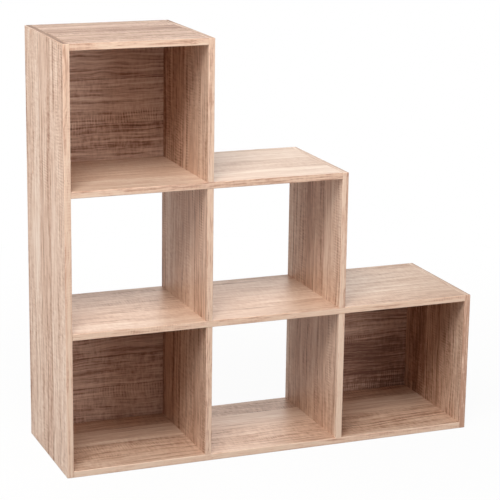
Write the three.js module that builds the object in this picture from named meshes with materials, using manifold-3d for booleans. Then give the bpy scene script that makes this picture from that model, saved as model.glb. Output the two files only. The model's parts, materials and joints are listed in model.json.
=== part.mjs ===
// Staircase bookshelf: six cells in three columns that step down from left to right.
// Millimetres, +Z up, front towards -Y, origin on the floor below the middle of the bookshelf.

import * as THREE from 'three';
import { mergeVertices } from 'three/addons/utils/BufferGeometryUtils.js';
import Module from 'manifold-3d';

// Boards and cells
const STEPS = 3; // columns from left to right, and cells in the tallest column
const CELL_WIDTH = 313; // clear width of a cell
const CELL_HEIGHT = 305; // clear height of a cell
const DEPTH = 310; // front edge to rear edge
const BOARD = 15; // thickness of every board

// Back sheets, which slide in grooves near the rear edges
const BACK = 3; // thickness of a sheet
const BACK_INSET = 6; // rear edge of the boards to the rear face of a sheet
const GROOVE_DEPTH = 5; // how far a groove goes into a board

// Screws that go through one board and into the edge of another
const SCREW_LENGTH = 50;
const SCREW_INSET = 45; // front or rear edge to the screw's axis
const HEAD_WIDTH = 10;
const HEAD_RIM = 0.8; // straight rim above the cone
const HEAD_HEIGHT = 3.5; // top of the head to the end of the cone
const SHOULDER_WIDTH = 7;
const SHOULDER_LENGTH = 14; // top of the head to the end of the smooth shoulder
const THREAD_WIDTH = 6.3;
const TIP_LENGTH = 5;
const SOCKET_WIDTH = 4; // across the flats of the hexagon socket
const SOCKET_DEPTH = 3;
const UNDERSIDE_SINK = 1; // how far the heads below the bottom board are sunk

// Cover caps, pushed into the sockets of the screws that show
const CAP_WIDTH = 13;
const CAP_THICKNESS = 1;
const CAP_BEVEL = 0.4;

// Dowels that go right through a shelf, from the upright below to the upright above
const DOWEL_WIDTH = 8;
const DOWEL_REACH = 14; // how far a dowel goes into each upright
const DOWEL_INSET = 70; // front or rear edge to the dowel's axis
const DOWEL_BEVEL = 1;

// Clearances and cuts
const FIT = 0.3; // gap around what is pushed into a hole, a socket or a groove
const OVERRUN = 1; // how far a cut starts outside the face that it goes through
const ROUND_SIDES = 12; // faces around a screw, a dowel, a cap or a hole

// Overall sizes and the grid of uprights and levels
const WIDTH = STEPS * CELL_WIDTH + (STEPS + 1) * BOARD;
const HEIGHT = STEPS * CELL_HEIGHT + (STEPS + 1) * BOARD;
const LEFT = -WIDTH / 2;
const FRONT = -DEPTH / 2;
const uprightX = (i) => LEFT + i * (CELL_WIDTH + BOARD); // left face of upright i
const levelZ = (j) => j * (CELL_HEIGHT + BOARD); // underside of level j

// Finishes
const finish = (color, roughness, metalness) => new THREE.MeshStandardMaterial({ color, roughness, metalness });
const OAK_FOIL = finish(0xcfb096, 0.6, 0);
const BACK_FOIL = finish(0xbc9a80, 0.6, 0);
const CAP_FOIL = finish(0xd6baa2, 0.5, 0);
const ZINC = finish(0xb9bcc0, 0.35, 1);
const BEECH = finish(0xd9b98c, 0.7, 0);

const wasm = await Module();
wasm.setup();

// A closed geometry as a solid that can be cut and joined
function solid(geometry) {
  const bare = geometry.clone();
  bare.deleteAttribute('normal');
  bare.deleteAttribute('uv');
  const merged = mergeVertices(bare);
  const vertProperties = new Float32Array(merged.attributes.position.array);
  const triVerts = new Uint32Array(merged.index.array);
  return new wasm.Manifold(new wasm.Mesh({ numProp: 3, vertProperties, triVerts }));
}

// The geometry of a solid that has been cut or joined
function geometryOf(body) {
  const { vertProperties, triVerts } = body.getMesh();
  const geometry = new THREE.BufferGeometry();
  geometry.setAttribute('position', new THREE.BufferAttribute(vertProperties, 3));
  geometry.setIndex(new THREE.BufferAttribute(triVerts, 1));
  geometry.computeVertexNormals();
  return geometry;
}

function named(name, geometry, material) {
  const mesh = new THREE.Mesh(geometry, material);
  mesh.name = name;
  return mesh;
}

// A box between its lowest and its highest corner
function box(low, high) {
  const size = new THREE.Vector3().subVectors(high, low);
  const middle = new THREE.Vector3().addVectors(low, high).divideScalar(2);
  return new THREE.BoxGeometry(size.x, size.y, size.z).translate(middle.x, middle.y, middle.z);
}

// A turned shape on the Z axis, from its radius at each height
function turned(points) {
  const outline = points.map(([radius, height]) => new THREE.Vector2(radius, height));
  return new THREE.LatheGeometry(outline, ROUND_SIDES).rotateX(Math.PI / 2);
}

// A hexagonal bar on the Z axis, from its width across the flats
function hexagon(acrossFlats, low, high) {
  const radius = acrossFlats / 2 / Math.cos(Math.PI / 6);
  const bar = new THREE.CylinderGeometry(radius, radius, high - low, 6);
  return bar.rotateX(Math.PI / 2).translate(0, 0, (low + high) / 2);
}

// Boards
function board(name, low, high) {
  return { name, low, high, cuts: [] };
}

// An upright is a board on edge, between two heights
function upright(name, i, bottom, top) {
  const low = new THREE.Vector3(uprightX(i), FRONT, bottom);
  const high = new THREE.Vector3(uprightX(i) + BOARD, -FRONT, top);
  return board(name, low, high);
}

// A level lies between the left side and the upright that ends it
function level(name, j, endUpright) {
  const low = new THREE.Vector3(uprightX(0) + BOARD, FRONT, levelZ(j));
  const high = new THREE.Vector3(uprightX(endUpright), -FRONT, levelZ(j) + BOARD);
  return board(name, low, high);
}

const bottomBoard = level('bottom_board', 0, 3);
const lowerShelf = level('lower_shelf', 1, 3);
const upperShelf = level('upper_shelf', 2, 2);
const topBoard = level('top_board', 3, 1);

const leftSide = upright('left_side', 0, 0, HEIGHT);
const upperSide = upright('upper_side', 1, levelZ(2) + BOARD, HEIGHT);
const middleSide = upright('middle_side', 2, levelZ(1) + BOARD, levelZ(2) + BOARD);
const rightSide = upright('right_side', 3, 0, levelZ(1) + BOARD);
const middleDivider = upright('middle_divider', 1, levelZ(1) + BOARD, levelZ(2));
const lowerLeftDivider = upright('lower_left_divider', 1, BOARD, levelZ(1));
const lowerRightDivider = upright('lower_right_divider', 2, BOARD, levelZ(1));

const boards = [
  bottomBoard, lowerShelf, upperShelf, topBoard,
  leftSide, upperSide, middleSide, rightSide,
  middleDivider, lowerLeftDivider, lowerRightDivider,
];

// The board itself, drilled and grooved, with its lowest corner at its own origin
function boardMesh({ name, low, high, cuts }) {
  let body = solid(box(new THREE.Vector3(), new THREE.Vector3().subVectors(high, low)));
  for (const cut of cuts) {
    body = body.subtract(solid(cut.clone().translate(-low.x, -low.y, -low.z)));
  }
  const mesh = named(name, geometryOf(body), OAK_FOIL);
  mesh.position.copy(low);
  return mesh;
}

// A back sheet closes the cell in column i and row j and stands in the groove of the board below it
function backSheet(name, i, j, neighbours) {
  const left = uprightX(i) + BOARD;
  const right = left + CELL_WIDTH;
  const bottom = levelZ(j) + BOARD;
  const top = bottom + CELL_HEIGHT;
  const rear = -FRONT - BACK_INSET;
  const inGroove = GROOVE_DEPTH - FIT;
  const grooveLow = new THREE.Vector3(left - GROOVE_DEPTH, rear - BACK - FIT, bottom - GROOVE_DEPTH);
  const grooveHigh = new THREE.Vector3(right + GROOVE_DEPTH, rear + FIT, top + GROOVE_DEPTH);
  for (const neighbour of neighbours) {
    neighbour.cuts.push(box(grooveLow, grooveHigh));
  }
  const low = new THREE.Vector3(left - inGroove, rear - BACK, bottom - GROOVE_DEPTH);
  const high = new THREE.Vector3(right + inGroove, rear, top + inGroove);
  const mesh = named(name, box(new THREE.Vector3(), new THREE.Vector3().subVectors(high, low)), BACK_FOIL);
  mesh.position.copy(low);
  return mesh;
}

// The outline of a screw, or of its hole when it is widened, from above its head to its tip
function screwOutline(widened, above) {
  return [
    [0, -above],
    [HEAD_WIDTH / 2 + widened, -above],
    [HEAD_WIDTH / 2 + widened, HEAD_RIM],
    [SHOULDER_WIDTH / 2 + widened, HEAD_HEIGHT],
    [SHOULDER_WIDTH / 2 + widened, SHOULDER_LENGTH],
    [THREAD_WIDTH / 2 + widened, SHOULDER_LENGTH],
    [THREAD_WIDTH / 2 + widened, SCREW_LENGTH - TIP_LENGTH],
    [0, SCREW_LENGTH + widened],
  ];
}

function screw(name) {
  const socket = hexagon(SOCKET_WIDTH, -OVERRUN, SOCKET_DEPTH);
  const body = solid(turned(screwOutline(0, 0))).subtract(solid(socket));
  return named(name, geometryOf(body), ZINC);
}

// The cap's disc lies on the board and on the screw's head, and its stem is in the socket
function coverCap(name) {
  const disc = turned([
    [0, -CAP_THICKNESS],
    [CAP_WIDTH / 2 - CAP_BEVEL, -CAP_THICKNESS],
    [CAP_WIDTH / 2, -CAP_THICKNESS + CAP_BEVEL],
    [CAP_WIDTH / 2, 0],
    [0, 0],
  ]);
  const stem = hexagon(SOCKET_WIDTH - 2 * FIT, -CAP_THICKNESS / 2, SOCKET_DEPTH - FIT);
  return named(name, geometryOf(solid(disc).add(solid(stem))), CAP_FOIL);
}

// The outline of a dowel, or of its hole when it is widened, from end to end
function dowelOutline(widened) {
  const reach = BOARD / 2 + DOWEL_REACH + widened;
  const radius = DOWEL_WIDTH / 2 + widened;
  return [
    [0, -reach],
    [radius - DOWEL_BEVEL, -reach],
    [radius, -reach + DOWEL_BEVEL],
    [radius, reach - DOWEL_BEVEL],
    [radius - DOWEL_BEVEL, reach],
    [0, reach],
  ];
}

const bookshelf = new THREE.Group();
const INWARDS = new THREE.Vector3(0, 0, 1); // the way a screw points before it is placed

// Drills the hole for a fastener in each board that it goes through, and puts it there
function fasten(pieces, hole, at, direction, through) {
  const place = new THREE.Group();
  place.position.copy(at);
  place.quaternion.setFromUnitVectors(INWARDS, direction);
  place.updateMatrix();
  for (const part of through) {
    part.cuts.push(hole.clone().applyMatrix4(place.matrix));
  }
  place.add(...pieces);
  bookshelf.add(place);
}

// Every fastener comes in a front and a rear copy, at one inset from the edges
function frontAndRear(inset, put) {
  put('front', FRONT + inset);
  put('rear', -FRONT - inset);
}

// Two capped screws through a side board into one end of a level
function sideJoint(side, shelf, j, face, direction, end) {
  const hole = turned(screwOutline(FIT, OVERRUN));
  frontAndRear(SCREW_INSET, (row, y) => {
    const at = new THREE.Vector3(face, y, levelZ(j) + BOARD / 2);
    const pieces = [screw(`screw_${shelf.name}_${end}_${row}`), coverCap(`cap_${shelf.name}_${end}_${row}`)];
    fasten(pieces, hole, at, direction, [side, shelf]);
  });
}

// Two screws up through the bottom board into a lower divider
function undersideJoint(divider, i) {
  const hole = turned(screwOutline(FIT, UNDERSIDE_SINK + OVERRUN));
  frontAndRear(SCREW_INSET, (row, y) => {
    const at = new THREE.Vector3(uprightX(i) + BOARD / 2, y, UNDERSIDE_SINK);
    fasten([screw(`screw_${divider.name}_${row}`)], hole, at, INWARDS, [bottomBoard, divider]);
  });
}

// Two dowels through a level where one upright stands above another
function dowelJoint(below, shelf, above, i, j) {
  const hole = turned(dowelOutline(FIT));
  frontAndRear(DOWEL_INSET, (row, y) => {
    const at = new THREE.Vector3(uprightX(i) + BOARD / 2, y, levelZ(j) + BOARD / 2);
    const dowel = named(`dowel_${above.name}_${row}`, turned(dowelOutline(0)), BEECH);
    fasten([dowel], hole, at, INWARDS, [below, shelf, above]);
  });
}

const TO_RIGHT = new THREE.Vector3(1, 0, 0);
const TO_LEFT = new THREE.Vector3(-1, 0, 0);
const levelsAndEnds = [
  [bottomBoard, rightSide, 3],
  [lowerShelf, rightSide, 3],
  [upperShelf, middleSide, 2],
  [topBoard, upperSide, 1],
];
levelsAndEnds.forEach(([shelf, endSide, i], j) => {
  sideJoint(leftSide, shelf, j, uprightX(0), TO_RIGHT, 'left');
  sideJoint(endSide, shelf, j, uprightX(i) + BOARD, TO_LEFT, 'right');
});

undersideJoint(lowerLeftDivider, 1);
undersideJoint(lowerRightDivider, 2);

dowelJoint(lowerLeftDivider, lowerShelf, middleDivider, 1, 1);
dowelJoint(lowerRightDivider, lowerShelf, middleSide, 2, 1);
dowelJoint(middleDivider, upperShelf, upperSide, 1, 2);

bookshelf.add(backSheet('top_back', 0, 2, [upperShelf, topBoard, leftSide, upperSide]));
bookshelf.add(backSheet('lower_left_back', 0, 0, [bottomBoard, lowerShelf, leftSide, lowerLeftDivider]));
bookshelf.add(backSheet('lower_right_back', 2, 0, [bottomBoard, lowerShelf, lowerRightDivider, rightSide]));

for (const part of boards) {
  bookshelf.add(boardMesh(part));
}

export default bookshelf;
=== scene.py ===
# %% [markdown]
# # A staircase bookshelf in printed oak
#
# The real bookshelf is flat-pack furniture: chipboard boards wrapped in a paper foil that is
# printed as rough-sawn light oak, with a thin plastic band on every edge that shows. Its shape is
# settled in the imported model, so this lesson is about looks: arrises that catch the light, an oak
# print that can stand close inspection, and the light and camera of a product photograph.

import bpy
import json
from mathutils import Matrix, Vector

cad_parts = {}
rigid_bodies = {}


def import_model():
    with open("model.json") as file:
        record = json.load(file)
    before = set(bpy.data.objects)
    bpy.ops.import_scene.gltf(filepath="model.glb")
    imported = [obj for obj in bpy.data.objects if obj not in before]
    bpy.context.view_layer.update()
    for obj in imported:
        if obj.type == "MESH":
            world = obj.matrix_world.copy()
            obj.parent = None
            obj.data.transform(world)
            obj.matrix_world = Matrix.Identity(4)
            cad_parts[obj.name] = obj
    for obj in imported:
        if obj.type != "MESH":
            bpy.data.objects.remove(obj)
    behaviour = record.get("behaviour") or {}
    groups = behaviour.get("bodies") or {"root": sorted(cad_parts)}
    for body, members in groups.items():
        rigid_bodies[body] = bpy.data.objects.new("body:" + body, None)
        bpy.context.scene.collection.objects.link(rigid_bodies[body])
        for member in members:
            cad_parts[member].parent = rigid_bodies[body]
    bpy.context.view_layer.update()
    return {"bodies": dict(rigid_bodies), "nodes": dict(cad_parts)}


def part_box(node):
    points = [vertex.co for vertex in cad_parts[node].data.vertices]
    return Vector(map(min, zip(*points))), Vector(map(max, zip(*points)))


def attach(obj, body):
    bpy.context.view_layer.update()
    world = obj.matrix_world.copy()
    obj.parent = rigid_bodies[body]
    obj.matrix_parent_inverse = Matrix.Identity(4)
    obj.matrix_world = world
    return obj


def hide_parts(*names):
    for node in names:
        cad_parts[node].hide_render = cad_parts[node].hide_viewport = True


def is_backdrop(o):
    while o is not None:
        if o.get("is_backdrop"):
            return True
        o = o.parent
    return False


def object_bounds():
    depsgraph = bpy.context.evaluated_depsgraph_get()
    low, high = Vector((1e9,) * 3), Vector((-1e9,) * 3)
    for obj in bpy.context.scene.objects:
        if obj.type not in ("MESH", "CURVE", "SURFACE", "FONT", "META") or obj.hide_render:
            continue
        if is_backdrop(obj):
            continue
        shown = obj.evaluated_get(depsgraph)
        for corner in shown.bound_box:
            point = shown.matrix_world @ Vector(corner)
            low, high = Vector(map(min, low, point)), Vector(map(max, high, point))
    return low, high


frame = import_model()
print("pieces in the packed model:", len(frame["nodes"]))

# %% Libraries and units
import json
import math

import bmesh
import bpy
from mathutils import Euler, Matrix, Vector

MM = 0.001
NODES = frame["nodes"]
UPRIGHTS = [
    "left_side", "upper_side", "middle_side", "right_side",
    "middle_divider", "lower_left_divider", "lower_right_divider",
]
LEVELS = ["bottom_board", "lower_shelf", "upper_shelf", "top_board"]
BACKS = ["top_back", "lower_left_back", "lower_right_back"]

# %% [markdown]
# ## Small helpers for node trees
#
# A procedural finish is a graph of small nodes. Written out by hand it takes hundreds of lines, so
# four helpers do the wiring: one adds any node and fills its sockets, one does a sum, one takes a
# value smoothly from one range to another, and one makes noise that is stretched along the grain.

# %% Node helpers
def add(tree, kind, inputs=None, **settings):
    """A new node, its sockets filled by values or by other nodes' sockets."""
    made = tree.nodes.new("ShaderNode" + kind)
    for key, value in settings.items():
        setattr(made, key, value)
    for socket, value in (inputs or {}).items():
        if isinstance(value, bpy.types.NodeSocket):
            tree.links.new(value, made.inputs[socket])
        else:
            made.inputs[socket].default_value = value
    return made


def calc(tree, operation, a, b=0.0, c=0.0):
    """The result of one sum."""
    return add(tree, "Math", {0: a, 1: b, 2: c}, operation=operation).outputs[0]


def spread(tree, value, low, high, to_low=0.0, to_high=1.0):
    """A value taken smoothly from one range to another, and held at the ends."""
    sockets = {
        "Value": value, "From Min": low, "From Max": high, "To Min": to_low, "To Max": to_high,
    }
    return add(tree, "MapRange", sockets, interpolation_type="SMOOTHSTEP").outputs[0]


def stretched(tree, place, along, across, detail, rough=0.5, shift=None):
    """Noise with so many features a metre along the grain and so many across it."""
    counts = (along, across, across)
    scaled = add(tree, "VectorMath", {0: place, 1: counts}, operation="MULTIPLY").outputs[0]
    if shift is not None:
        scaled = add(tree, "VectorMath", {0: scaled, 1: shift}, operation="ADD").outputs[0]
    sockets = {"Vector": scaled, "Scale": 1.0, "Detail": detail, "Roughness": rough}
    return add(tree, "TexNoise", sockets).outputs["Fac"]


# %% [markdown]
# ## The oak print
#
# The foil shows strips of sawn oak side by side. Each strip has its own tone and its own piece of
# tree, a thin dark line parts it from the next, and along it run soft brown streaks, the loops of
# the growth rings, fine pores, and here and there a patch of ticks that a band saw left across the
# grain.
#
# A photograph could be pasted on, but it would repeat, blur up close and wrap badly round the
# edges. A solid pattern does not: every layer below reads a place in three numbers, along the
# grain, across it and through the board, so faces and edges of one board agree. The layers meet in
# one number, the shade, and a colour ramp turns that number into wood.

# %% Strips of the print
STRIPS_A_METRE = 11.0
STRIP_UNEVENNESS = 0.75
JOINT_SHARE = 0.020


def strips(tree, across):
    """Random numbers for the strip at a place, and how far that place is into a joint line."""
    sockets = {"W": across, "Scale": STRIPS_A_METRE, "Randomness": STRIP_UNEVENNESS}
    pick = add(tree, "TexVoronoi", sockets, voronoi_dimensions="1D", feature="F1")
    edge = add(tree, "TexVoronoi", sockets, voronoi_dimensions="1D", feature="DISTANCE_TO_EDGE")
    joint = spread(tree, edge.outputs["Distance"], 0.0, JOINT_SHARE, 1.0, 0.0)
    return pick.outputs["Color"], joint


# %% Growth rings, streaks and saw marks
RINGS_ON_HILL = 95.0
TICK_PHASE = 980.0
TICK_JITTER = 34.0


def growth_rings(tree, place, shift):
    """Contour lines of a long, slow noise: the pointed loops of a tree sawn along its length."""
    hill = stretched(tree, place, 1.5, 10.0, 1.0, 0.4, shift)
    wave = calc(tree, "SINE", calc(tree, "MULTIPLY", hill, RINGS_ON_HILL))
    return calc(tree, "MULTIPLY_ADD", wave, 0.5, 0.5)


def dark_streaks(tree, place, shift):
    """A few thin brown streaks that taper at both ends."""
    return spread(tree, stretched(tree, place, 2.6, 85.0, 2.0, 0.55, shift), 0.56, 0.74)


def saw_marks(tree, place, along, shift):
    """Evenly spaced ticks across the grain, a little aslant, in long narrow patches."""
    jitter = stretched(tree, place, 7.0, 9.0, 1.0)
    sway = calc(tree, "MULTIPLY", jitter, TICK_JITTER)
    phase = calc(tree, "MULTIPLY_ADD", along, TICK_PHASE, sway)
    ticks = calc(tree, "SINE", phase)
    patch = spread(tree, stretched(tree, place, 2.2, 13.0, 1.0, 0.5, shift), 0.54, 0.64)
    broken = spread(tree, stretched(tree, place, 30.0, 60.0, 2.0), 0.34, 0.58)
    return calc(tree, "MULTIPLY", ticks, calc(tree, "MULTIPLY", patch, broken))


def sawn_texture(tree, place, shift):
    """The fine hatching of rough timber, stronger in some parts than in others."""
    hatch = calc(tree, "SUBTRACT", stretched(tree, place, 150.0, 48.0, 2.0, 0.6), 0.5)
    parts = stretched(tree, place, 2.6, 8.0, 1.0, 0.5, shift)
    return calc(tree, "MULTIPLY", hatch, spread(tree, parts, 0.34, 0.58, 0.20, 1.0))


# %% One group for the whole print
LANE_SLANT = 2.3
STRIP_JUMP = (37.0, 11.0, 5.0)
LONG_SWAY = 0.040
SHORT_SWAY = 0.008
START_SHADE = 0.47
MARKS_IN_RELIEF = 0.35


def make_oak_print():
    tree = bpy.data.node_groups.new("oak_print", "ShaderNodeTree")
    tree.interface.new_socket("Grain", in_out="INPUT", socket_type="NodeSocketVector")
    tree.interface.new_socket("Sawn", in_out="INPUT", socket_type="NodeSocketFloat")
    for name in ("Shade", "Relief"):
        tree.interface.new_socket(name, in_out="OUTPUT", socket_type="NodeSocketFloat")
    place, sawn = tree.nodes.new("NodeGroupInput").outputs[:2]
    axes = add(tree, "SeparateXYZ", {0: place})
    along, across, through = axes.outputs

    lane = calc(tree, "MULTIPLY_ADD", through, LANE_SLANT, across)
    strip, joint = strips(tree, lane)
    chance = add(tree, "SeparateColor", {0: strip})
    tone = chance.outputs[0]
    shift = add(tree, "VectorMath", {0: strip, 1: STRIP_JUMP}, operation="MULTIPLY").outputs[0]

    long_sway = calc(tree, "SUBTRACT", stretched(tree, place, 2.4, 7.0, 1.0), 0.5)
    short_sway = calc(tree, "SUBTRACT", stretched(tree, place, 15.0, 26.0, 1.0), 0.5)
    swayed = calc(tree, "MULTIPLY_ADD", long_sway, LONG_SWAY, across)
    swayed = calc(tree, "MULTIPLY_ADD", short_sway, SHORT_SWAY, swayed)
    bent = add(tree, "CombineXYZ", {0: along, 1: swayed, 2: through}).outputs[0]

    layers = [
        (tone, 0.50),
        (stretched(tree, bent, 0.9, 13.0, 1.0, 0.5, shift), 0.40),
        (stretched(tree, bent, 1.0, 60.0, 2.0, 0.55, shift), 0.52),
        (stretched(tree, bent, 1.8, 110.0, 2.0, 0.55, shift), 0.38),
        (stretched(tree, bent, 3.5, 190.0, 3.0, 0.6, shift), 1.10),
        (stretched(tree, bent, 16.0, 330.0, 2.0, 0.6), 1.15),
        (stretched(tree, bent, 60.0, 820.0, 1.0), 0.40),
        (growth_rings(tree, bent, shift), 0.08),
    ]
    shade = START_SHADE
    for layer, weight in layers:
        centred = calc(tree, "SUBTRACT", layer, 0.5)
        shade = calc(tree, "MULTIPLY_ADD", centred, weight, shade)
    marks = calc(tree, "MULTIPLY", saw_marks(tree, place, along, shift), sawn)
    hatch = calc(tree, "MULTIPLY", sawn_texture(tree, place, shift), sawn)
    pores = spread(tree, stretched(tree, bent, 34.0, 900.0, 1.0), 0.60, 0.72)
    streaks = dark_streaks(tree, bent, shift)
    accents = [(streaks, 0.24), (joint, 0.26), (marks, 0.12), (hatch, 0.62), (pores, 0.10)]
    for accent, weight in accents:
        shade = calc(tree, "MULTIPLY_ADD", accent, weight, shade)
    dents = calc(tree, "ADD", pores, joint)
    relief = calc(tree, "MULTIPLY_ADD", marks, MARKS_IN_RELIEF, dents)

    out = tree.nodes.new("NodeGroupOutput")
    tree.links.new(shade, out.inputs["Shade"])
    tree.links.new(relief, out.inputs["Relief"])
    return tree


OAK_PRINT = make_oak_print()
print("oak print:", len(OAK_PRINT.nodes), "nodes")

# %% [markdown]
# ## Finishes
#
# Colours are chosen in the values of a paint program and turned into the linear values that the
# renderer works in. The two rows of tones for foil run from nearly white wood to brown over the
# whole reach of the shade, so that the print is not cut off flat at either end, and the other rows
# cover less of it. The bands on the edges are a paler and calmer print than the foil, and on a free
# end the band's grain runs along that end, from front to rear.
#
# The foil has a satin lacquer, a little rougher in the dark pores, so a soft gloss slides over the
# shelf tops. Every finish reads Object coordinates, turned by a Mapping node so that the first axis
# runs along the grain of that board, and moved so that no two boards show the same piece of oak.

# %% Colours
def linear(red, green, blue):
    """A colour from 0 to 255, as the renderer's linear values."""
    def channel(value):
        share = value / 255
        return share / 12.92 if share <= 0.04045 else ((share + 0.055) / 1.055) ** 2.4
    return (channel(red), channel(green), channel(blue), 1.0)


OAK_TONES = [
    (0.0, (246, 223, 204)), (0.26, (231, 201, 179)), (0.50, (213, 177, 153)),
    (0.78, (172, 130, 107)), (1.0, (132, 92, 71)),
]
BAND_TONES = [(0.05, (253, 223, 200)), (0.50, (243, 206, 182)), (0.85, (205, 160, 137))]
CAP_TONES = [(0.16, (228, 200, 180)), (0.50, (214, 182, 161)), (0.85, (192, 158, 138))]
# Tones for the back sheets: their print, made cooler and greyer as painted shade, for every back
# sheet stands in the shade of a closed cell.
BACK_AND_SHADE_TONES = [
    (0.0, (246, 226, 212)), (0.26, (231, 204, 188)), (0.50, (211, 179, 162)),
    (0.78, (170, 133, 116)), (1.0, (130, 95, 80)),
]
# Tones of the dark stripe: partly painted shade, on the narrow stripes and rear arrises that turn
# away from the light.
STRIPE_AND_SHADE_TONES = [(0.20, (188, 148, 119)), (0.50, (168, 127, 99)), (0.80, (134, 98, 76))]
HARDBOARD_TONES = [(0.20, (210, 174, 144)), (0.50, (192, 154, 124)), (0.80, (166, 128, 99))]
CHIP_TONES = [(0.25, (214, 186, 148)), (0.50, (190, 158, 118)), (0.75, (150, 117, 80))]

# %% Which way the grain runs
ALONG_Z = Euler((0.0, math.pi / 2, 0.0))
ALONG_X = Euler((0.0, 0.0, 0.0))
ALONG_X_STANDING = Euler((math.pi / 2, 0.0, 0.0))
ALONG_Y = Euler((0.0, 0.0, math.pi / 2))


def grain_of(tree, turn, offset):
    """Object coordinates, turned so that the first axis runs along the grain."""
    place = add(tree, "TexCoord").outputs["Object"]
    sockets = {"Vector": place, "Location": offset, "Rotation": turn}
    return add(tree, "Mapping", sockets, vector_type="POINT").outputs[0]


def tinted(tree, shade, tones):
    """A colour ramp from a shade to the tones of a finish."""
    ramp = add(tree, "ValToRGB", {0: shade})
    stops = ramp.color_ramp.elements
    while len(stops) < len(tones):
        stops.new(0.5)
    for stop, (position, colour) in zip(stops, tones):
        stop.position = position
        stop.color = linear(*colour)
    return ramp.outputs["Color"]


def new_finish(name):
    """An empty material and its main shader."""
    material = bpy.data.materials.new(name)
    material.use_nodes = True
    tree = material.node_tree
    shader = tree.nodes["Principled BSDF"]
    return material, tree, shader


MIDDLE_SHADE = 0.48
PORE_ROUGHNESS = 0.16
PRINT_GLOSS = 0.25
PRINT_RELIEF = 0.25
PRINT_DEPTH = 0.12 * MM


def printed_oak(name, tones, turn, offset, sawn=1.0, darker_for_tone_and_shade=0.0, contrast=1.0, smooth=0.48):
    """Foil or edge band with the oak print: how sawn, how dark, how lively and how smooth."""
    material, tree, shader = new_finish(name)
    group = tree.nodes.new("ShaderNodeGroup")
    group.node_tree = OAK_PRINT
    tree.links.new(grain_of(tree, turn, offset), group.inputs["Grain"])
    group.inputs["Sawn"].default_value = sawn
    centred = calc(tree, "SUBTRACT", group.outputs["Shade"], MIDDLE_SHADE)
    # The shift carries a board's own tone together with its painted light and shade.
    shade = calc(tree, "MULTIPLY_ADD", centred, contrast, MIDDLE_SHADE + darker_for_tone_and_shade)
    tree.links.new(tinted(tree, shade, tones), shader.inputs["Base Color"])
    rough = calc(tree, "MULTIPLY_ADD", shade, PORE_ROUGHNESS, smooth - PORE_ROUGHNESS / 2)
    tree.links.new(rough, shader.inputs["Roughness"])
    sockets = {
        "Height": group.outputs["Relief"], "Strength": PRINT_RELIEF, "Distance": PRINT_DEPTH,
    }
    bump = add(tree, "Bump", sockets, invert=True)
    tree.links.new(bump.outputs[0], shader.inputs["Normal"])
    shader.inputs["Specular IOR Level"].default_value = PRINT_GLOSS
    return material


# %% [markdown]
# ## Raw chipboard and hardboard
#
# Where two boards meet, and inside the grooves, the cut chipboard is bare: pale flakes pressed
# together with glue. The thin back sheets are hardboard, printed on the side that faces the cell
# and plain brown behind. Flakes are cells of a Voronoi texture stretched a little; hardboard is
# only fine fibre, so noise at two scales is enough.

# %% Chipboard and hardboard
def chipboard():
    material, tree, shader = new_finish("chipboard_core")
    place = add(tree, "TexCoord").outputs["Object"]
    flakes = add(tree, "TexVoronoi", {"Vector": place, "Scale": 420.0})
    tone = add(tree, "SeparateColor", {0: flakes.outputs["Color"]}).outputs[0]
    tree.links.new(tinted(tree, tone, CHIP_TONES), shader.inputs["Base Color"])
    sockets = {"Height": flakes.outputs["Distance"], "Strength": 0.5, "Distance": 0.3 * MM}
    bump = add(tree, "Bump", sockets)
    tree.links.new(bump.outputs[0], shader.inputs["Normal"])
    shader.inputs["Roughness"].default_value = 0.9
    return material


def hardboard():
    material, tree, shader = new_finish("hardboard_rear")
    place = add(tree, "TexCoord").outputs["Object"]
    cloud = stretched(tree, place, 55.0, 55.0, 4.0, 0.7)
    fibre = stretched(tree, place, 420.0, 700.0, 3.0, 0.65)
    calm = calc(tree, "MULTIPLY_ADD", calc(tree, "SUBTRACT", cloud, 0.5), 0.6, 0.5)
    tone = calc(tree, "MULTIPLY_ADD", calc(tree, "SUBTRACT", fibre, 0.5), 1.1, calm)
    tree.links.new(tinted(tree, tone, HARDBOARD_TONES), shader.inputs["Base Color"])
    tree.links.new(spread(tree, fibre, 0.3, 0.7, 0.55, 0.75), shader.inputs["Roughness"])
    bump = add(tree, "Bump", {"Height": fibre, "Strength": 0.3, "Distance": 0.1 * MM})
    tree.links.new(bump.outputs[0], shader.inputs["Normal"])
    return material


CHIPBOARD = chipboard()
HARDBOARD = hardboard()

# %% Shared finishes for ends and caps
BAND_END = printed_oak("edge_band_end", OAK_TONES, ALONG_Y, (1.1, 0.8, 1.6), sawn=0.2)
# The dark stripe finish, partly painted shade on arrises that turn away from the light.
STRIPE_AND_SHADE_FINISH = printed_oak("end_stripe_and_painted_shade", STRIPE_AND_SHADE_TONES, ALONG_Y, (0.6, 2.1, 0.9), smooth=0.5)
CAP_FOIL = printed_oak("cap_foil", CAP_TONES, ALONG_Z, (2.6, 0.2, 0.4), sawn=0.2)
print("finishes so far:", len(bpy.data.materials))

# %% [markdown]
# ## Boards with eased arrises
#
# No board is as sharp as a drawing. The edge band is trimmed with a small round-over, and that thin
# rounded line is what catches the light along each front edge and draws the joints between boards.
#
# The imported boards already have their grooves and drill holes, so each is copied, welded and
# cleaned, and only its four long arrises, and the arrises of ends that show, are bevelled. A Bevel
# modifier would ease the holes and grooves too, so the edges are picked by where they lie.

# %% Ease the arrises
EASE = 1.2 * MM
EASE_SEGMENTS = 3
WELD = 0.001 * MM
NEAR = 0.02 * MM
SAME_PLANE = 0.01
FREE_TOPS = ["left_side", "upper_side", "middle_side", "right_side"]
ON_FLOOR = ["left_side", "right_side"]


def lies_on(edge, axis, value):
    """Whether both ends of an edge have one coordinate at a value."""
    return all(abs(vert.co[axis] - value) < NEAR for vert in edge.verts)


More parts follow.
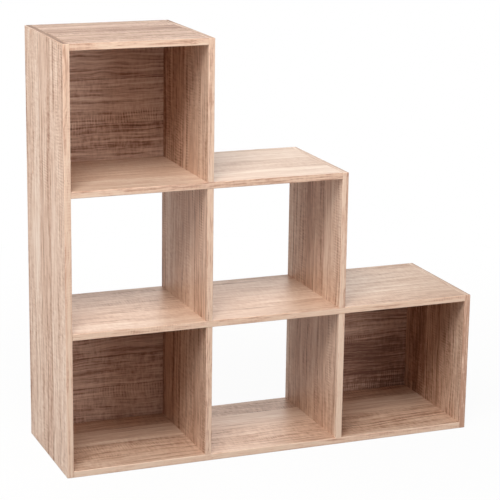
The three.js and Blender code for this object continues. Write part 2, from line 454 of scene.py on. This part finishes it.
def eased_edges(mesh, name, low, high):
    """The long arrises of a board, and those of its free ends."""
    upright = name in UPRIGHTS
    side, end = (0, 2) if upright else (2, 0)
    chosen = []
    for edge in mesh.edges:
        on_front_or_rear = lies_on(edge, 1, low.y) or lies_on(edge, 1, high.y)
        on_side = lies_on(edge, side, low[side]) or lies_on(edge, side, high[side])
        free_top = name in FREE_TOPS and lies_on(edge, end, high[end])
        free_foot = name in ON_FLOOR and lies_on(edge, end, low[end])
        on_end = free_top or free_foot
        if on_front_or_rear + on_side + on_end >= 2 and not edge.is_wire:
            chosen.append(edge)
    return chosen


def copied(node):
    """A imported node's shape as a clean mesh of whole faces."""
    mesh = bmesh.new()
    mesh.from_mesh(NODES[node].data)
    bmesh.ops.remove_doubles(mesh, verts=mesh.verts, dist=WELD)
    bmesh.ops.dissolve_limit(mesh, angle_limit=SAME_PLANE, verts=mesh.verts, edges=mesh.edges)
    return mesh


def eased_board(name):
    low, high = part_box(name)
    mesh = copied(name)
    arrises = eased_edges(mesh, name, low, high)
    bmesh.ops.bevel(
        mesh, geom=arrises, offset=EASE, offset_type="OFFSET", segments=EASE_SEGMENTS,
        profile=0.5, affect="EDGES", material=-1, clamp_overlap=True,
    )
    return mesh, len(arrises)


# %% [markdown]
# ## The stripe along a free top end
#
# The top end of a side is not one colour. Its band is as light as the foil, with a dark brown
# stripe along it: a broad one on the tall left side, and a narrow one by the outer face on the
# others, which is painted shade where the rounded arris turns away from the light. Cutting the end
# along two lines, and once more just behind the front, gives the stripe faces of its own, so it
# keeps a crisp edge at any size. The level boards show the same dark tone along their rear
# arrises, as painted shade there too.

# %% Cut the end along the stripe
STRIPES = {
    "left_side": (1.3 * MM, 13.2 * MM),
    "upper_side": (10.8 * MM, 13.8 * MM),
    "middle_side": (11.4 * MM, 13.8 * MM),
    "right_side": (11.4 * MM, 13.8 * MM),
}
STRIPE_MARGIN = 3.0 * MM


def cut_end(mesh, high, place, across):
    """Score the top end along one plane."""
    end = [face for face in mesh.faces if high.z - face.calc_center_median().z < NEAR]
    parts = end + list(dict.fromkeys(edge for face in end for edge in face.edges))
    bmesh.ops.bisect_plane(mesh, geom=parts, dist=WELD, plane_co=place, plane_no=across)


def cut_stripe(mesh, name, low, high):
    """Score the top end round its dark stripe, which stops short of the front."""
    for step in STRIPES[name]:
        cut_end(mesh, high, (low.x + step, 0, 0), (1, 0, 0))
    cut_end(mesh, high, (0, low.y + STRIPE_MARGIN, 0), (0, 1, 0))


# %% Sort a board's faces by finish
FOIL, BAND, STRIPE, CORE, END, OUTER = range(6)
RIGHT_HAND = ["upper_side", "middle_side", "right_side"]
SQUARE_ON = 0.999
FACING = 0.5


def in_stripe(name, low, place):
    """Whether a place on a free top end lies in its dark stripe."""
    start, stop = STRIPES[name]
    return start < place.x - low.x < stop and place.y - low.y > STRIPE_MARGIN


def on_rear_arris(face, high):
    """Whether a face belongs to the rounded line between a broad face and the rear edge."""
    return high.y - face.calc_center_median().y < EASE and abs(face.normal.y) < SQUARE_ON


def sort_board_faces(mesh, name, low, high):
    """Foil on the broad faces, bands on edges and ends, the dark stripe, bare chipboard inside."""
    side, end = (0, 2) if name in UPRIGHTS else (2, 0)
    for face in mesh.faces:
        middle = face.calc_center_median()
        at_front_or_rear = min(middle.y - low.y, high.y - middle.y) < EASE
        on_side = min(middle[side] - low[side], high[side] - middle[side]) < NEAR
        on_free_end = name in FREE_TOPS and high[end] - middle[end] < EASE
        # The levels' rear arrises and the narrow stripes on the right-hand ends take the dark
        # stripe as painted shade.
        if name in LEVELS and on_rear_arris(face, high):
            face.material_index = STRIPE
        elif at_front_or_rear:
            face.material_index = BAND
        elif on_free_end and high.z - middle.z < NEAR and in_stripe(name, low, middle):
            face.material_index = STRIPE
        elif on_free_end:
            face.material_index = END
        elif on_side:
            outside = name in RIGHT_HAND and face.normal.x > FACING
            face.material_index = OUTER if outside else FOIL
        else:
            face.material_index = CORE
        face.smooth = max(abs(part) for part in face.normal) < SQUARE_ON


# %% [markdown]
# ## Putting a piece in place
#
# Each finished piece sits at the origin with its place in its mesh, like the imported nodes, hides
# the node that it stands for, rides on the bookshelf's one body, and takes its finishes in order.
# Some operators leave the same points and faces in another order at each run. So every mesh is
# sorted by place before it is stored, and the script gives the same result each time.

# %% Sort a mesh
def spot(vert):
    """The place of a point."""
    return tuple(vert.co)


def corners(part):
    """The places of the points of an edge or a face, in an order that doesn't vary."""
    return sorted(spot(vert) for vert in part.verts)


def in_order(mesh):
    """Points, edges and faces sorted by place."""
    for parts, key in ((mesh.verts, spot), (mesh.edges, corners), (mesh.faces, corners)):
        rank = {part: number for number, part in enumerate(sorted(parts, key=key))}
        parts.sort(key=rank.get)


# %% Place a piece
BODY = next(iter(frame["bodies"]))


def place_piece(mesh, name, stands_for, materials):
    in_order(mesh)
    data = bpy.data.meshes.new(name)
    mesh.to_mesh(data)
    mesh.free()
    for material in materials:
        data.materials.append(material)
    piece = bpy.data.objects.new(name, data)
    bpy.context.scene.collection.objects.link(piece)
    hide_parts(stands_for)
    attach(piece, BODY)


# %% [markdown]
# ## Every board from its own place on the print
#
# In a factory the foil comes off a long roll, so each board shows another stretch of it, some pale
# and calm, some brown and lively. One finish for all of them would look like tiles. Each board and
# back sheet has three numbers: where on the print it is cut from, how much darker or lighter it
# came out, and how strong its grain is. The last two are partly the tone of the print and partly
# painted light and shade: boards that get less light, the back sheets of the closed cells most of
# all, are darker with painted shade, and the level boards are calmer, the upper shelf also paler,
# with a painted sheen on their tops. The cuts were chosen from a row of test pictures for their
# broad pattern. The bands on the edges come off rolls of their own, and some of those are a little
# paler or browner too, partly as painted light that keeps the lower front edges as bright as the
# upper ones. The outer faces on the right get a calmer foil, all of one tone and without the
# painted shade of their inner faces, so that they go together when seen from there.

# %% All eleven boards
# Cut, darker and contrast of each board: darker and contrast carry painted shade and a painted
# sheen as well as the print's own tone.
BOARD_PRINTS_AND_PAINTED_LIGHT = {
    "left_side": (4.5, -0.05, 1.05),
    "upper_side": (2.5, 0.07, 1.0),
    "middle_side": (5.5, -0.17, 0.95),
    "right_side": (9.5, 0.14, 1.0),
    "middle_divider": (13, -0.02, 0.95),
    "lower_left_divider": (4.25, 0.14, 1.05),
    "lower_right_divider": (8, -0.18, 0.90),
    "bottom_board": (14, -0.01, 0.85),
    "lower_shelf": (14, -0.03, 0.74),
    "upper_shelf": (5, -0.22, 0.62),
    "top_board": (4, 0.19, 0.80),
    "top_back": (7, 0.06, 1.05),
    "lower_left_back": (0.25, 0.18, 0.85),
    "lower_right_back": (6.25, 0.18, 0.85),
}
# The outer faces on the right take one calm tone, without the painted shade on their boards' inner
# faces.
OUTER_DARKER = -0.06
OUTER_CONTRAST = 0.75
# How much darker each band is: partly the tone of its roll, partly painted light that keeps the
# lower front edges as bright as the upper ones.
BAND_TONE_AND_PAINTED_LIGHT = {
    "left_side": 0.13,
    "upper_side": 0.04,
    "middle_side": -0.07,
    "right_side": 0.02,
    "middle_divider": 0.02,
    "lower_left_divider": -0.26,
    "lower_right_divider": -0.02,
    "bottom_board": -0.08,
    "lower_shelf": 0.02,
    "upper_shelf": 0.0,
    "top_board": 0.09,
}
BAND_SAWN = 0.5
BAND_CONTRAST = 1.35
BAND_ALONG = 0.3
BAND_STEP = 0.1
BAND_THROUGH = 0.7

FIRST_CUT = (0.1, 0.0, 0.0)
BOARD_STEP = (0.83, 0.37, 0.53)
CUT_STEP = (0.631, 0.117, 0.263)
FIRST_BACK = 20
FIRST_OUTER = 30


def offset_for(number, cut):
    """Where on the print a board is cut from, so that no two boards look alike."""
    steps = zip(BOARD_STEP, CUT_STEP, FIRST_CUT)
    return tuple(board * number + along * cut + first for board, along, first in steps)


for number, name in enumerate(UPRIGHTS + LEVELS):
    low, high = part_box(name)
    mesh, eased = eased_board(name)
    if name in FREE_TOPS:
        cut_stripe(mesh, name, low, high)
    sort_board_faces(mesh, name, low, high)
    turn = ALONG_Z if name in UPRIGHTS else ALONG_X
    cut, darker_for_tone_and_shade, contrast = BOARD_PRINTS_AND_PAINTED_LIGHT[name]
    offset = offset_for(number, cut)
    foil = printed_oak(
        "oak_foil_" + name, OAK_TONES, turn, offset, darker_for_tone_and_shade=darker_for_tone_and_shade, contrast=contrast,
    )
    band = printed_oak(
        "edge_band_" + name, BAND_TONES, turn, (BAND_ALONG, BAND_STEP * number, BAND_THROUGH),
        sawn=BAND_SAWN, darker_for_tone_and_shade=BAND_TONE_AND_PAINTED_LIGHT[name], contrast=BAND_CONTRAST,
    )
    finishes = [foil, band, STRIPE_AND_SHADE_FINISH, CHIPBOARD, BAND_END]
    if name in RIGHT_HAND:
        finishes.append(printed_oak(
            "oak_foil_outer_" + name, OAK_TONES, turn, offset_for(number + FIRST_OUTER, cut),
            darker_for_tone_and_shade=OUTER_DARKER, contrast=OUTER_CONTRAST,
        ))
    place_piece(mesh, name + "_eased", name, finishes)
    print(name, "with", eased, "eased arrises")

# %% [markdown]
# ## Back sheets
#
# A back sheet is 3 mm hardboard slid into grooves. Only its printed front shows in the cell, and
# the plain rear from behind. Its edges are hidden in the grooves; a tiny bevel keeps them from
# being knife sharp.

# %% Back sheets
SHEET_EASE = 0.4 * MM
SHEET_SEGMENTS = 2
BACK_SAWN = 1.4
PRINTED, PLAIN = range(2)


def back_sheet(name):
    low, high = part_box(name)
    mesh = copied(name)
    bmesh.ops.bevel(
        mesh, geom=list(mesh.edges), offset=SHEET_EASE, offset_type="OFFSET",
        segments=SHEET_SEGMENTS, profile=0.5, affect="EDGES", material=-1, clamp_overlap=True,
    )
    for face in mesh.faces:
        in_front = face.calc_center_median().y < low.y + SHEET_EASE
        face.material_index = PRINTED if in_front else PLAIN
    return mesh


for number, name in enumerate(BACKS):
    cut, darker_for_tone_and_shade, contrast = BOARD_PRINTS_AND_PAINTED_LIGHT[name]
    offset = offset_for(number + FIRST_BACK, cut)
    foil = printed_oak(
        "oak_foil_" + name, BACK_AND_SHADE_TONES, ALONG_X_STANDING, offset,
        sawn=BACK_SAWN, darker_for_tone_and_shade=darker_for_tone_and_shade, contrast=contrast,
    )
    place_piece(back_sheet(name), name + "_sheet", name, [foil, HARDBOARD])
print("back sheets:", len(BACKS))

# %% [markdown]
# ## Cover caps
#
# A cover cap is a small moulded disc in the colour of the foil, pushed into the socket of each
# screw. It is slightly domed with a soft rim. Its section is a short line of points turned once
# round the axis, which is how a round moulded part is drawn, and the turned shape is then laid on
# its side of the bookshelf.

# %% Turn a cap
CAP_PROUD = 1.0 * MM
CAP_SECTION = [
    (0.0, 1.0), (3.4, 0.95), (5.2, 0.82), (6.1, 0.55), (6.5, 0.2), (6.5, 0.0),
    (1.6, 0.0), (1.6, -2.5), (0.0, -2.5),
]
CAP_STEPS = 40


def cover_cap(node):
    """A cap whose axis points away from the board that it covers."""
    low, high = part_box(node)
    outwards = -1.0 if "left" in node.split("_") else 1.0
    seat = low.x + CAP_PROUD if outwards < 0 else high.x - CAP_PROUD
    mesh = bmesh.new()
    points = [mesh.verts.new((radius * MM, 0.0, height * MM)) for radius, height in CAP_SECTION]
    line = [mesh.edges.new(pair) for pair in zip(points, points[1:])]
    bmesh.ops.spin(
        mesh, geom=points + line, cent=(0, 0, 0), axis=(0, 0, 1), dvec=(0, 0, 0),
        angle=2 * math.pi, steps=CAP_STEPS, use_merge=True, use_duplicate=False,
    )
    bmesh.ops.remove_doubles(mesh, verts=mesh.verts, dist=WELD)
    lay = Matrix.Rotation(outwards * math.pi / 2, 4, "Y")
    centre = Vector((seat, (low.y + high.y) / 2, (low.z + high.z) / 2))
    bmesh.ops.transform(mesh, matrix=Matrix.Translation(centre) @ lay, verts=mesh.verts)
    bmesh.ops.recalc_face_normals(mesh, faces=mesh.faces)
    for face in mesh.faces:
        face.smooth = True
    return mesh


CAPS = sorted(name for name in NODES if name.startswith("cap_"))
for name in CAPS:
    place_piece(cover_cap(name), name + "_domed", name, [CAP_FOIL])
print("cover caps:", len(CAPS))

# %% [markdown]
# ## Screws and dowels
#
# These are hidden once the bookshelf is together, apart from four screw heads under the bottom
# board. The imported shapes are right, so they stay and only get their finish: bright zinc plating
# with the fine marks of a barrel plater and a bluish to yellowish drift, and fluted beech with
# short brown flecks.

# %% Zinc plating
def zinc_plating():
    material, tree, shader = new_finish("zinc_plating")
    place = add(tree, "TexCoord").outputs["Object"]
    drift = stretched(tree, place, 90.0, 90.0, 2.0)
    scuffs = stretched(tree, place, 900.0, 2600.0, 3.0, 0.6)
    tones = [(0.30, (186, 192, 200)), (0.52, (204, 206, 208)), (0.72, (214, 208, 186))]
    tree.links.new(tinted(tree, drift, tones), shader.inputs["Base Color"])
    tree.links.new(spread(tree, scuffs, 0.3, 0.7, 0.24, 0.46), shader.inputs["Roughness"])
    bump = add(tree, "Bump", {"Height": scuffs, "Strength": 0.2, "Distance": 0.02 * MM})
    tree.links.new(bump.outputs[0], shader.inputs["Normal"])
    shader.inputs["Metallic"].default_value = 1.0
    return material


# %% Beech
def beech():
    material, tree, shader = new_finish("beech_dowel")
    grain = grain_of(tree, ALONG_Z, (0.0, 0.0, 0.0))
    fibre = stretched(tree, grain, 22.0, 900.0, 3.0, 0.6)
    flecks = spread(tree, stretched(tree, grain, 260.0, 1500.0, 1.0), 0.64, 0.70)
    tone = calc(tree, "MULTIPLY_ADD", flecks, 0.3, fibre)
    tones = [(0.30, (232, 204, 166)), (0.55, (216, 182, 140)), (0.85, (166, 122, 84))]
    tree.links.new(tinted(tree, tone, tones), shader.inputs["Base Color"])
    bump = add(tree, "Bump", {"Height": fibre, "Strength": 0.3, "Distance": 0.05 * MM})
    tree.links.new(bump.outputs[0], shader.inputs["Normal"])
    shader.inputs["Roughness"].default_value = 0.7
    return material


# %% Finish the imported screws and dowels
def refinish(prefix, material):
    found = [node for name, node in NODES.items() if name.startswith(prefix)]
    for node in found:
        node.data.materials.clear()
        node.data.materials.append(material)
    return len(found)


print("screws:", refinish("screw_", zinc_plating()))
print("dowels:", refinish("dowel_", beech()))

# %% [markdown]
# ## Floor and background
#
# A product photograph stands on seamless white. The floor is a wide pale sheet that keeps the soft
# shadow of the bookshelf. A glow that only the camera and the gloss can see lifts it to white in
# the picture. To the lamps it is a dull sheet that throws little light back up, or the ceilings and
# the backs of the closed cells would turn pale. The world is white in the same way, to the camera
# and in reflections, and gives a calmer light of its own.

# %% Floor
FLOOR_REACH = 40.0
FLOOR_SEGMENTS = 96
FLOOR_DROP = 0.2 * MM
GLOW_NEAR = 0.95
GLOW_FROM = 0.7
GLOW_FULL = 1.9
FLOOR_WHITE = 0.90
FLOOR_BOUNCE = 0.16


def white_floor():
    material, tree, shader = new_finish("white_floor")
    shader.inputs["Roughness"].default_value = 0.9
    shader.inputs["Specular IOR Level"].default_value = 0.0
    rays = add(tree, "LightPath")
    seen = calc(tree, "MAXIMUM", rays.outputs["Is Camera Ray"], rays.outputs["Is Glossy Ray"])
    seen = calc(tree, "MAXIMUM", seen, rays.outputs["Is Transmission Ray"])
    sockets = {"Value": seen, "To Min": FLOOR_BOUNCE, "To Max": FLOOR_WHITE}
    paint = add(tree, "MapRange", sockets)
    tree.links.new(paint.outputs[0], shader.inputs["Base Color"])
    glow = add(tree, "Emission", {"Color": (1.0, 1.0, 1.0, 1.0), "Strength": 1.0})
    place = add(tree, "TexCoord").outputs["Object"]
    away = add(tree, "VectorMath", {0: place}, operation="LENGTH")
    glowing = spread(tree, away.outputs["Value"], GLOW_FROM, GLOW_FULL, GLOW_NEAR, 1.0)
    share = calc(tree, "MULTIPLY", seen, glowing)
    mixed = add(tree, "MixShader", {0: share, 1: shader.outputs[0], 2: glow.outputs[0]})
    tree.links.new(mixed.outputs[0], tree.nodes["Material Output"].inputs["Surface"])
    return material


sheet = bmesh.new()
bmesh.ops.create_circle(sheet, cap_ends=True, radius=FLOOR_REACH, segments=FLOOR_SEGMENTS)
bmesh.ops.translate(sheet, vec=(0.0, 0.0, -FLOOR_DROP), verts=sheet.verts)
floor_data = bpy.data.meshes.new("floor")
sheet.to_mesh(floor_data)
sheet.free()
floor_data.materials.append(white_floor())
floor = bpy.data.objects.new("floor", floor_data)
bpy.context.scene.collection.objects.link(floor)
floor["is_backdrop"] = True
print("floor radius:", FLOOR_REACH, "m")

# %% World
WORLD_LIGHT = 0.20


def white_world():
    world = bpy.data.worlds.new("white_studio")
    world.use_nodes = True
    tree = world.node_tree
    rays = add(tree, "LightPath")
    seen = calc(tree, "MAXIMUM", rays.outputs["Is Camera Ray"], rays.outputs["Is Glossy Ray"])
    seen = calc(tree, "MAXIMUM", seen, rays.outputs["Is Transmission Ray"])
    strength = add(tree, "MapRange", {"Value": seen, "To Min": WORLD_LIGHT, "To Max": 1.0})
    tree.links.new(strength.outputs[0], tree.nodes["Background"].inputs["Strength"])
    tree.nodes["Background"].inputs["Color"].default_value = (1.0, 1.0, 1.0, 1.0)
    bpy.context.scene.world = world


white_world()

# %% [markdown]
# ## Lamps
#
# The shadows tell where the light stood. On each inner side a soft line falls from the top front
# corner towards the rear, and every back sheet lies in shade: the main light is a softbox in front,
# to the left and well above. Three weaker softboxes help it. One stands low beside the tall left
# side, a broad one in front on the right keeps the front edges bright down to the floor, and a
# warm, low one behind reaches the shelves and dividers through the open cells. Together they are
# strong enough that a colour comes out about as it is written, and no pale board burns out.

# %% Lamps
AIM = Vector((0.0, 0.0, 0.42))
LAMPS = [
    ("key_softbox", (-1.25, -1.75, 3.1), 1.4, 74.0, (1.0, 0.975, 0.93)),
    ("left_softbox", (-2.4, -0.2, 0.85), 1.8, 27.0, (1.0, 1.0, 1.0)),
    ("front_right_softbox", (1.8, -2.8, 0.9), 1.8, 33.0, (1.0, 0.98, 0.96)),
    ("rear_low_softbox", (0.5, 1.9, 0.75), 1.5, 16.0, (1.0, 0.94, 0.87)),
]
for name, place, width, watts, colour in LAMPS:
    data = bpy.data.lights.new(name, "AREA")
    data.size = width
    data.energy = watts
    data.color = colour
    lamp = bpy.data.objects.new(name, data)
    lamp.location = place
    lamp.rotation_euler = (AIM - Vector(place)).to_track_quat("-Z", "Y").to_euler()
    bpy.context.scene.collection.objects.link(lamp)
    print(name, watts, "W")

# %% [markdown]
# ## Camera
#
# The camera stands a good four metres away, to the left and above the top, with a long lens. Its
# place and aim were solved from the picture's straight edges and the real sizes of the boards. It
# looks straight at the middle of the frame, without lens shift, so that any other view stays
# centred too.

# %% Camera
EYE = Vector((-1.5599, -3.8778, 1.5396))
HEADING = math.radians(21.832)
TILT = math.radians(-14.633)
LEAN = math.radians(-0.843)
SENSOR = 36.0
LENS = 132.58
SEES_AS_FAR_AS = 200.0


def camera_matrix():
    flat = math.cos(TILT)
    ahead = Vector((math.sin(HEADING) * flat, math.cos(HEADING) * flat, math.sin(TILT)))
    level = ahead.cross(Vector((0, 0, 1))).normalized()
    down = ahead.cross(level)
    right = math.cos(LEAN) * level + math.sin(LEAN) * down
    up = math.sin(LEAN) * level - math.cos(LEAN) * down
    turn = Matrix((right, up, -ahead)).transposed().to_4x4()
    return Matrix.Translation(EYE) @ turn


lens = bpy.data.cameras.new("camera")
lens.sensor_width = SENSOR
lens.lens = LENS
lens.clip_end = SEES_AS_FAR_AS
camera = bpy.data.objects.new("camera", lens)
camera.matrix_world = camera_matrix()
bpy.context.scene.collection.objects.link(camera)
bpy.context.scene.camera = camera
print("camera", round((EYE - AIM).length, 2), "m from the middle of the bookshelf")

# %% [markdown]
# ## Colour management and the last checks
#
# Standard view keeps colours as they were written. The box printed at the end gives the size of the
# dressed bookshelf.

# %% Finish
bpy.context.scene.view_settings.view_transform = "Standard"
low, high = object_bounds()
print("dressed box", low, high)
